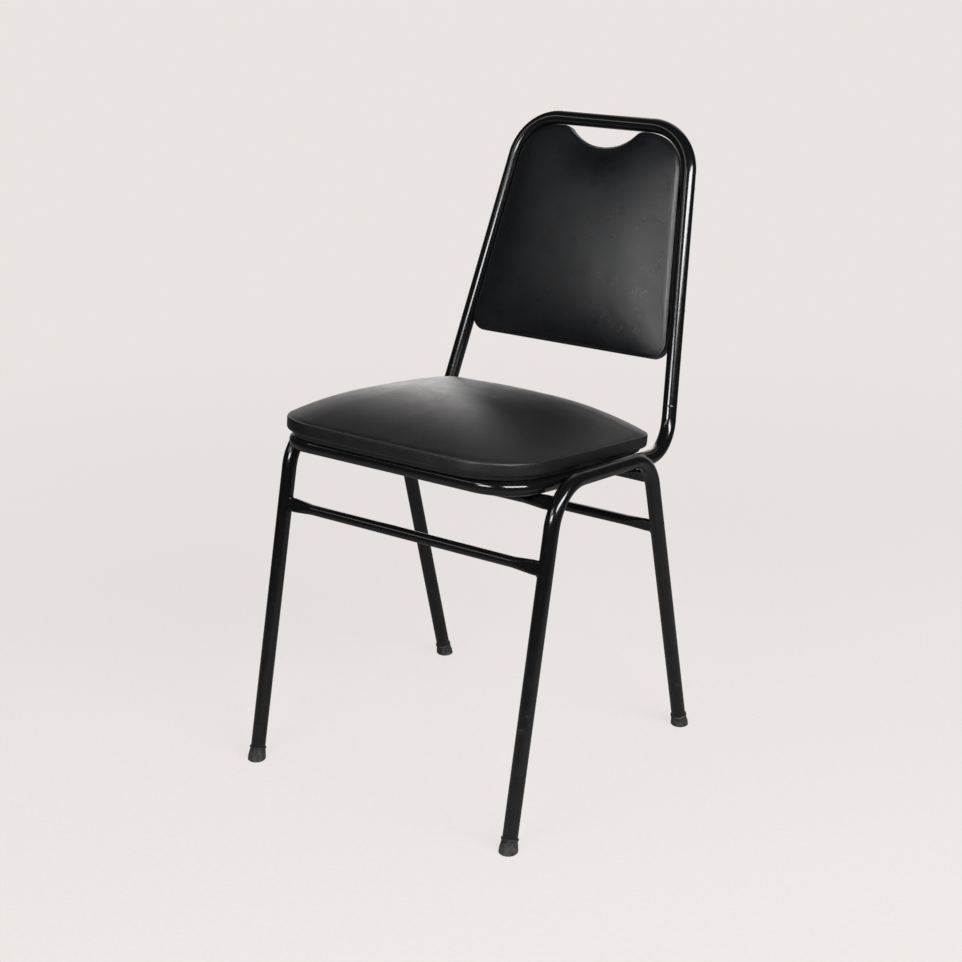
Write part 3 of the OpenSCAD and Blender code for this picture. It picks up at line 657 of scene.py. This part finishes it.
def crown_lifts(pad, flats, outline):
    """The middle's lift and each ring's, as shares of the crown.

    A pad with a hand hold is a loaded skin to some power. One without follows its rings.
    """
    count = len(outline)
    if not pad.hold_dip:
        return 1.0, [np.full(count, 1 - share ** pad.power) for share in CROWN_SHARES]
    points = np.vstack([pad.centre[None]] + flats + [outline])
    triangles = fan_faces(count)
    for a, b, c, d in ring_faces(count, len(flats) + 1):
        triangles += [(a, b, c), (a, c, d)]
    held = np.arange(len(points)) >= 1 + count * len(flats)
    lifts = skin_heights(points, triangles, held) ** pad.power
    return lifts[0], [lifts[1 + row * count:1 + (row + 1) * count] for row in range(len(flats))]


def pad_rings(pad, outline):
    """Rings from the top of the crown to the floor of the board's pocket.

    Returns them with the share of the cloth's swelling that each takes, and the height of the middle.
    """
    spokes = outline - pad.centre
    ellipse = spokes / np.linalg.norm(spokes / pad.half, axis=1)[:, None]
    radius = float(np.mean(np.linalg.norm(spokes, axis=1)))
    flats = [
        pad.centre + (spokes * share ** pad.blend + ellipse * (1 - share ** pad.blend)) * share
        for share in CROWN_SHARES
    ]
    middle, lifts = crown_lifts(pad, flats, outline)

    def drawn_in(points):
        away = np.linalg.norm(points - (0, PAD_HIGH), axis=1)
        return pad.hold_dip * np.exp(-(away / HOLD_REACH) ** 4)

    rings = [
        np.c_[flat, pad.fold + pad.crown * lift - drawn_in(flat)] for flat, lift in zip(flats, lifts)
    ]
    swelling = [1 - max(0.0, (share - FADE_SHARE) / (1 - FADE_SHARE)) ** 2 for share in CROWN_SHARES]

    def add(share, height, swells=0.0):
        rings.append(np.c_[pad.centre + spokes * share, height + np.zeros(len(outline))])
        swelling.append(swells)

    fold = pad.fold - drawn_in(outline)
    for inset, rise, swells in FOLD_ROLL:
        add(1 - inset / radius, fold + rise, swells)
    for share in BORDER_SHARES:
        add(1, pad.low + (fold - pad.low) * share)
    for share in TURN_SHARES:
        turn = share * pi / 2
        add(1 - pad.low_r * (1 - cos(turn)) / radius, pad.low + pad.low_r * (1 - sin(turn)))
    if pad.skirt_share:
        # The cover runs in under the foam, down round the board's edge and under it
        add(pad.skirt_share + TUCK_R / radius, pad.low)
        add(pad.skirt_share, pad.low - TUCK_R)
        add(pad.skirt_share, SEAT_GAP + TUCK_R)
        add(pad.skirt_share - TUCK_R / radius, SEAT_GAP)
        add(pad.pocket_share, SEAT_GAP)
    else:
        add(1 - (1 - pad.pocket_share) * FLAT_SHARE, pad.low)
        add(pad.pocket_share, pad.low)
    add(pad.pocket_share, pad.pocket)
    return rings, swelling, pad.fold + pad.crown * middle


# The cloth run that swells a pad
CLOTH = {
    "quality": 4, "mass": 0.3, "tension_stiffness": 18, "compression_stiffness": 18,
    "shear_stiffness": 8, "bending_stiffness": 1.5, "tension_damping": 8, "compression_damping": 8,
    "use_pressure": True, "uniform_pressure_force": 4.0, "vertex_group_mass": "held",
}
CLOTH_VOXEL = 0.006
CLOTH_FRAMES = 20
# Height over which the hold on the cloth fades above the fold
HELD_FADE = 0.004
MOST_SWELLING = 0.006
# Cloth points that each of the pad's points follows, and the distance that evens out their shares
FOLLOWED = 6
EVEN_OUT = 0.002
TINY = 1e-9


def swollen(name, points, faces, fold):
    """Runs the pad as cloth under pressure and returns how far each of its points moves."""
    mesh = bpy.data.meshes.new(name)
    mesh.from_pydata([tuple(point) for point in points], [], faces)
    obj = bpy.data.objects.new(name, mesh)
    bpy.context.scene.collection.objects.link(obj)
    remesh = obj.modifiers.new("Remesh", "REMESH")
    remesh.mode = "VOXEL"
    remesh.voxel_size = CLOTH_VOXEL
    even = evaluated_mesh(obj)
    obj.modifiers.clear()
    obj.data = even
    rest = coordinates(even)
    held = obj.vertex_groups.new(name="held")
    for i, height in enumerate(rest[:, 2]):
        hold = min(1.0, max(0.0, (fold + HELD_FADE - height) / HELD_FADE))
        if hold > 0:
            held.add([i], hold, "REPLACE")
    cloth = obj.modifiers.new("Cloth", "CLOTH")
    for setting, value in CLOTH.items():
        setattr(cloth.settings, setting, value)
    cloth.settings.effector_weights.gravity = 0
    cloth.point_cache.frame_start = 1
    cloth.point_cache.frame_end = CLOTH_FRAMES
    for moment in range(1, CLOTH_FRAMES + 1):
        bpy.context.scene.frame_set(moment)
    moves = coordinates(evaluated_mesh(obj)) - rest
    bpy.context.scene.frame_set(1)
    bpy.data.objects.remove(obj)
    lengths = np.linalg.norm(moves, axis=1)
    moves *= (np.minimum(lengths, MOST_SWELLING) / np.maximum(lengths, TINY))[:, None]
    tree = kdtree.KDTree(len(rest))
    for i, point in enumerate(rest):
        tree.insert(point, i)
    tree.balance()
    spread = np.zeros_like(points)
    for i, point in enumerate(points):
        found = tree.find_n(point, FOLLOWED)
        shares = [1 / (distance + EVEN_OUT) ** 2 for _, _, distance in found]
        spread[i] = sum(share * moves[k] for share, (_, k, _) in zip(shares, found)) / sum(shares)
    return spread


# Small unevenness of the pads, as layers of noise: in the foam, and along the fold
FOAM_WAVES = ((0.0005, 18, (3.1, 0, 0)), (0.00012, 50, (7.7, 0, 0)))
FOLD_WAVES = ((0.00025, 55, (5.0, 16.5, 0)), (0.00018, 160, (2.0, 144.0, 0)))
# Gathers where the cover turns a corner: their pitch, depth and share of standing depth, how their
# pitch drifts along the edge, and the share of the border's height where they are deepest
GATHER_PITCH = 0.0115
GATHER_DEPTH = 0.00022
GATHER_STANDING = 0.4
GATHER_DRIFT = ((2.2, 40, (1.3, 0, 0)),)
GATHER_AT = 0.25
# Curvature, in radians a metre, at which gathers are at their deepest, and the points to each side over
# which it is averaged
SHARP_BEND = 18.0
BEND_REACH = 6
# Shares of the border's height between which gathers and the fold's waver lie, and the share of the
# swelling up to which a ring has them
GATHER_SPAN = (-0.05, 1.2)
GATHER_SWELLING = 0.9
FOLD_SPAN = (0.85, 1.15)
FOLD_SWELLING = 0.05


def edge_bend(outline):
    """How sharply the outline bends round each of its points, from 0 to 1."""
    bend = np.zeros(len(outline))
    for j, at in enumerate(outline):
        before, after = outline[j - 1], outline[(j + 1) % len(outline)]
        straight = float(unit(at - before) @ unit(after - at))
        bend[j] = abs(acos(max(-1.0, min(1.0, straight)))) / (np.linalg.norm(after - before) / 2)
    window = 2 * BEND_REACH + 1
    bend = np.convolve(np.r_[bend[-BEND_REACH:], bend, bend[:BEND_REACH]], np.ones(window) / window, "valid")
    return np.clip(bend / SHARP_BEND, 0, 1)


def roughen(points, swelling, pad, outline):
    """Adds soft hollows to the crown, gathers to the border's corners and a waver to the fold."""
    count = len(outline)
    bend = edge_bend(outline)
    runs = np.r_[0, np.cumsum(np.linalg.norm(np.diff(outline, axis=0), axis=1))]
    outwards = [unit(spoke) for spoke in outline - pad.centre]
    for i in range(1, len(points) - 1):
        j = (i - 1) % count
        point = points[i]
        point[2] += swelling[i] * waves(point, FOAM_WAVES)
        height = (point[2] - pad.low) / (pad.fold - pad.low)
        along = (runs[j], 0, 0)
        if GATHER_SPAN[0] < height < GATHER_SPAN[1] and swelling[i] < GATHER_SWELLING:
            gather = sin(runs[j] * 2 * pi / GATHER_PITCH + waves(along, GATHER_DRIFT))
            fade = 1 - min(1, abs(height - GATHER_AT))
            point[:2] -= outwards[j] * GATHER_DEPTH * bend[j] * fade * (gather + GATHER_STANDING)
        if FOLD_SPAN[0] < height < FOLD_SPAN[1] and swelling[i] < FOLD_SWELLING:
            point[2] += waves(along, FOLD_WAVES)


def cushion(name, node, outline, pad, place, slot):
    """A pad lofted over its outline, swollen by the cloth run, roughened and subdivided."""
    rings, shares, top = pad_rings(pad, outline)
    points, faces = loft(rings, (*pad.centre, top), (*pad.centre, pad.pocket))
    points = np.array(points)
    swelling = np.r_[1.0, np.repeat(shares, len(outline)), 0.0]
    points += swollen(name + "_cloth", points, faces, pad.fold) * swelling[:, None]
    roughen(points, swelling, pad, outline)
    obj = piece(name, [place @ Vector(point) for point in points], faces, slot)
    subdivide(obj)
    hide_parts(node)


cushion("seat_pad", "seat_cushion", seat_outline(), SEAT_PAD, IN_SEAT, "seat_vinyl")
cushion("back_pad", "back_cushion", back_outline(), BACK_PAD, IN_BACK, "back_vinyl")

# Weld beads where the stretchers meet the legs
WELD_R = 0.0013
WELD_SIDES = 10
# Ripple that laid weld metal has: its share of the radius, its pitch, and how uneven it is
WELD_RIPPLE = 0.18
WELD_PITCH = 0.0021
WELD_UNEVEN = ((0.12, 300, (4.0, 0, 0)),)
# How far a bead's centreline lies off its tongue and off the leg
WELD_OFF_TONGUE = 0.0004
WELD_OFF_LEG = 0.0003
# Widest part of a leg's round, as a share of its radius, that a bead follows
WELD_WIDEST = 0.98
STADIUM_TURNS = 14
STADIUM_STRAIGHTS = 10
# Share of a direction across the chair over which it counts as crosswise
CROSSWISE = 0.9


def bead_mesh(loops):
    """A rippled tube along each closed loop of points."""
    points = []
    faces = []
    for loop in loops:
        base = len(points)
        run = 0.0
        for i, at in enumerate(loop):
            ahead = (loop[(i + 1) % len(loop)] - loop[i - 1]).normalized()
            if i:
                run += (at - loop[i - 1]).length
            if abs(ahead.x) > CROSSWISE:
                across = ahead.orthogonal().normalized()
            else:
                across = Vector((1, 0, 0)).cross(ahead).normalized()
            up = ahead.cross(across)
            radius = WELD_R * (1 + WELD_RIPPLE * sin(run / WELD_PITCH * 2 * pi) + waves(at, WELD_UNEVEN))
            for k in range(WELD_SIDES):
                turn = 2 * pi * k / WELD_SIDES
                points.append(at + across * radius * cos(turn) + up * radius * sin(turn))
        for i in range(len(loop)):
            this = base + i * WELD_SIDES
            following = base + (i + 1) % len(loop) * WELD_SIDES
            for k in range(WELD_SIDES):
                after = (k + 1) % WELD_SIDES
                faces.append((this + k, this + after, following + after, following + k))
    return points, faces


def stadium(grow):
    """Outline of a pressed tongue's end, grown all round: a round, a straight, a round and a straight."""
    edge = (TONGUE_H - TONGUE_T) / 2
    radius = TONGUE_T / 2 + grow
    points = []
    for end in (1, -1):
        for i in range(STADIUM_TURNS + 1):
            turn = pi * i / STADIUM_TURNS - pi / 2
            points.append((end * (edge + radius * cos(turn)), end * radius * sin(turn)))
        for i in range(1, STADIUM_STRAIGHTS):
            points.append((end * edge * (1 - 2 * i / STADIUM_STRAIGHTS), end * radius))
    return points


def bead_loop(foot_y, rake, leg_h, height, end):
    """The loop of a bead round a tongue on a leg, on the right for end 1 and on the left for -1."""
    lean = atan(rake / leg_h)
    middle = Vector((0, foot_y + rake * height / leg_h, height))
    up = Vector((0, sin(lean), cos(lean)))
    across = Vector((0, cos(lean), -sin(lean)))
    loop = []
    for rise, offset in stadium(WELD_OFF_TONGUE):
        on_tube = max(-TUBE_R * WELD_WIDEST, min(TUBE_R * WELD_WIDEST, offset))
        x = LEG_X - sqrt(TUBE_R ** 2 - on_tube ** 2) - WELD_OFF_LEG
        loop.append(Vector((end * x, 0, 0)) + middle + up * rise + across * offset)
    return loop


loops = []
for end in (-1, 1):
    loops.append(bead_loop(FRONT_FOOT_Y, FRONT_LEG_RAKE, FRONT_LEG_H, FRONT_STRETCHER_H, end))
for end in (-1, 1):
    loops.append(bead_loop(REAR_FOOT_Y, -REAR_LEG_RAKE, REAR_LEG_H, REAR_STRETCHER_H, end))
piece("stretcher_welds", *bead_mesh(loops), "frame_paint")

# The ring at each joint of the two hoops: a low band, drawn as heights and distances off the tube
BAND_SIDES = 64
BAND_EDGE = ((0.0016, -0.00005), (0.0012, 0.00006), (0.0004, 0.00009), (0.0001, 0.00001))
BAND_INSIDE = (0.0, -0.0003)


def upright_at(end, height):
    """The point of an upright's centreline at a height, on the right for end 1 and on the left for -1."""
    share = (height - UPRIGHT_H) / UPRIGHT_RISE
    x = end * (HOOP_REAR_W / 2 - UPRIGHT_TAPER * share)
    return Vector((x, UPRIGHT_Y + (height - UPRIGHT_H) * tan(BACK_LEAN), height))


def joint_ring(end):
    """Points and faces of the band round an upright's joint."""
    at = upright_at(end, JOINT_H)
    ahead = (upright_at(end, BACK_H) - at).normalized()
    across = Vector((1, 0, 0)).cross(ahead).normalized()
    behind = ahead.cross(across)
    below = [(-rise, off) for rise, off in BAND_EDGE]
    profile = [*below, *reversed(BAND_EDGE), BAND_INSIDE]
    points = []
    faces = []
    for row, (rise, off) in enumerate(profile):
        this = row * BAND_SIDES
        above = (row + 1) % len(profile) * BAND_SIDES
        for j in range(BAND_SIDES):
            turn = 2 * pi * j / BAND_SIDES
            out = across * cos(turn) + behind * sin(turn)
            points.append(at + ahead * rise + out * (TUBE_R + off))
            after = (j + 1) % BAND_SIDES
            faces.append((this + j, this + after, above + after, above + j))
    return points, faces


for end, label in ((-1, "left"), (1, "right")):
    piece("joint_ring_" + label, *joint_ring(end), "frame_paint")

# The photograph's camera: its place, its directions, and its focal length and middle in pixels
CAMERA_AT = Vector((1.23594, -1.78066, 1.09336))
CAMERA_AZ = radians(35.04)
CAMERA_EL = radians(18.11)
CAMERA_ROLL = radians(0.40)
IMAGE_PX = 962
FOCAL_PX = 1740
MIDDLE_PX = (486.94, 463.06)
SENSOR_MM = 36


def towards(azimuth, elevation):
    """A direction away from the chair, from its front turned to its right and then up."""
    return Vector((sin(azimuth) * cos(elevation), -cos(azimuth) * cos(elevation), sin(elevation)))


def photo_camera():
    back = towards(CAMERA_AZ, CAMERA_EL)
    level = Vector((cos(CAMERA_AZ), sin(CAMERA_AZ), 0))
    up = level.cross(-back)
    x = level * cos(CAMERA_ROLL) + up * sin(CAMERA_ROLL)
    y = up * cos(CAMERA_ROLL) - level * sin(CAMERA_ROLL)
    lens = bpy.data.cameras.new("photo_camera")
    lens.sensor_width = SENSOR_MM
    lens.lens = FOCAL_PX / IMAGE_PX * SENSOR_MM
    lens.shift_x = (IMAGE_PX / 2 - MIDDLE_PX[0]) / IMAGE_PX
    lens.shift_y = (MIDDLE_PX[1] - IMAGE_PX / 2) / IMAGE_PX
    camera = bpy.data.objects.new("photo_camera", lens)
    turn = Matrix((x, y, back)).transposed().to_4x4()
    camera.matrix_world = Matrix.Translation(CAMERA_AT) @ turn
    bpy.context.scene.collection.objects.link(camera)
    return camera


bpy.context.scene.camera = photo_camera()

# Lamps, each at an azimuth and an elevation in degrees round the point that it shines on
CHAIR_MIDDLE = (0.0, 0.0, 0.50)
BACK_MIDDLE = (0.0, 0.20, 0.62)
BACK_RIGHT = (0.16, 0.20, 0.62)
SEAT_FRONT = (0.0, -0.2, 0.45)


def lamp(name, azimuth, elevation, distance, width, height, watts, aim):
    light = bpy.data.lights.new(name, "AREA")
    light.shape = "RECTANGLE"
    light.size = width
    light.size_y = height
    light.energy = watts
    obj = bpy.data.objects.new(name, light)
    away = towards(radians(azimuth), radians(elevation))
    obj.location = Vector(aim) + away * distance
    obj.rotation_mode = "QUATERNION"
    obj.rotation_quaternion = (-away).to_track_quat("-Z", "Y")
    bpy.context.scene.collection.objects.link(obj)
    return obj


lamp("softbox_right", 66, 28, distance=2.0, width=1.7, height=0.42, watts=56, aim=BACK_RIGHT)
lamp("softbox_front", 6, 15, distance=2.0, width=0.70, height=0.34, watts=16, aim=BACK_MIDDLE)
lamp("card_front", -7.5, 26, distance=2.0, width=0.36, height=0.30, watts=2.6, aim=BACK_MIDDLE)
lamp("softbox_left", -41, 33, distance=2.6, width=0.9, height=0.5, watts=3.0, aim=SEAT_FRONT)
rear = lamp("softbox_rear", -143, 13, distance=2.8, width=0.9, height=1.5, watts=8.0, aim=CHAIR_MIDDLE)
rear.visible_camera = False

# The room: its pale backdrop, the pale wall that gloss shows, and its dark rest
PALE = (0.815, 0.775, 0.753)
ROOM_LIGHT = (0.97, 0.98, 1.0)
ROOM_LIGHT_STRENGTH = 0.35
ROOM_DARK = (0.9, 0.95, 1.0)
ROOM_DARK_STRENGTH = 0.035
WALL_AZ = radians(-153)
# Cosines between which the wall fades to its sides, and heights between which it fades upwards
WALL_SIDES = (0.72, 0.97)
WALL_TOP = (0.97, 0.70)


def studio_room():
    world = bpy.data.worlds.new("studio")
    room = Shading(world, "ShaderNodeOutputWorld")
    rays = room.new("ShaderNodeLightPath").outputs
    direction = room.places["Generated"]
    level = room.vector_math("MULTIPLY", direction, (1, 1, 0)).outputs[0]
    heading = room.vector_math("NORMALIZE", level).outputs[0]
    facing = room.vector_math("DOT_PRODUCT", heading, towards(WALL_AZ, 0)).outputs["Value"]
    sides = room.span(facing, *WALL_SIDES, ease="SMOOTHSTEP")
    below_top = room.span(room.axis(direction, 2), *WALL_TOP, ease="SMOOTHSTEP")
    wall = room.times(rays["Is Glossy Ray"], room.times(sides, below_top))
    seen = room.larger(room.larger(rays["Is Camera Ray"], rays["Is Transmission Ray"]), wall)

    def background(colour, strength):
        return room.new("ShaderNodeBackground", Color=(*colour, 1), Strength=strength).outputs[0]

    light = background(ROOM_LIGHT, ROOM_LIGHT_STRENGTH)
    dark = background(ROOM_DARK, ROOM_DARK_STRENGTH)
    unseen = room.mix_shaders(rays["Is Glossy Ray"], light, dark)
    return room.finish(room.mix_shaders(seen, unseen, background(PALE, 1.0)))


bpy.context.scene.world = studio_room()

# The floor: half its width, how strongly it glows for the camera and is seen in gloss, and where it fades
FLOOR_HALF = 2.6
FLOOR_GLOW = 0.88
FLOOR_IN_GLOSS = 0.28
FLOOR_FADE = (0.9, 2.2)
FLOOR_UNEVEN = 0.015


def floor_material():
    """A pale floor that keeps a soft shadow and fades into the backdrop's colour."""
    mat = new_material("studio_floor")
    grain = mat.span(mat.noise(scale=140, detail=4, rough=0.6), low=0.3, high=0.7)
    base = mat.mix(grain, shade(PALE, 1 - FLOOR_UNEVEN), shade(PALE, 1 + FLOOR_UNEVEN))
    rays = mat.new("ShaderNodeLightPath").outputs
    diffuse = mat.new("ShaderNodeBsdfDiffuse", Color=base).outputs[0]
    glow = mat.new("ShaderNodeEmission", Color=base).outputs[0]
    lit = mat.mix_shaders(FLOOR_GLOW, diffuse, glow)
    dim_colour = mat.mix(rays["Is Glossy Ray"], base, shade(PALE, FLOOR_IN_GLOSS))
    dim = mat.new("ShaderNodeBsdfDiffuse", Color=dim_colour).outputs[0]
    shown = mat.mix_shaders(rays["Is Camera Ray"], dim, lit)
    distance = mat.vector_math("LENGTH", mat.places["Object"]).outputs["Value"]
    clear = mat.new("ShaderNodeBsdfTransparent").outputs[0]
    return mat.finish(mat.mix_shaders(mat.span(distance, *FLOOR_FADE), shown, clear))


def studio_floor():
    mesh = bpy.data.meshes.new("floor")
    work = bmesh.new()
    bmesh.ops.create_grid(work, x_segments=8, y_segments=8, size=FLOOR_HALF)
    work.to_mesh(mesh)
    work.free()
    mesh.materials.append(floor_material())
    floor = bpy.data.objects.new("floor", mesh)
    bpy.context.scene.collection.objects.link(floor)


studio_floor()
bpy.context.scene.view_settings.view_transform = "Standard"
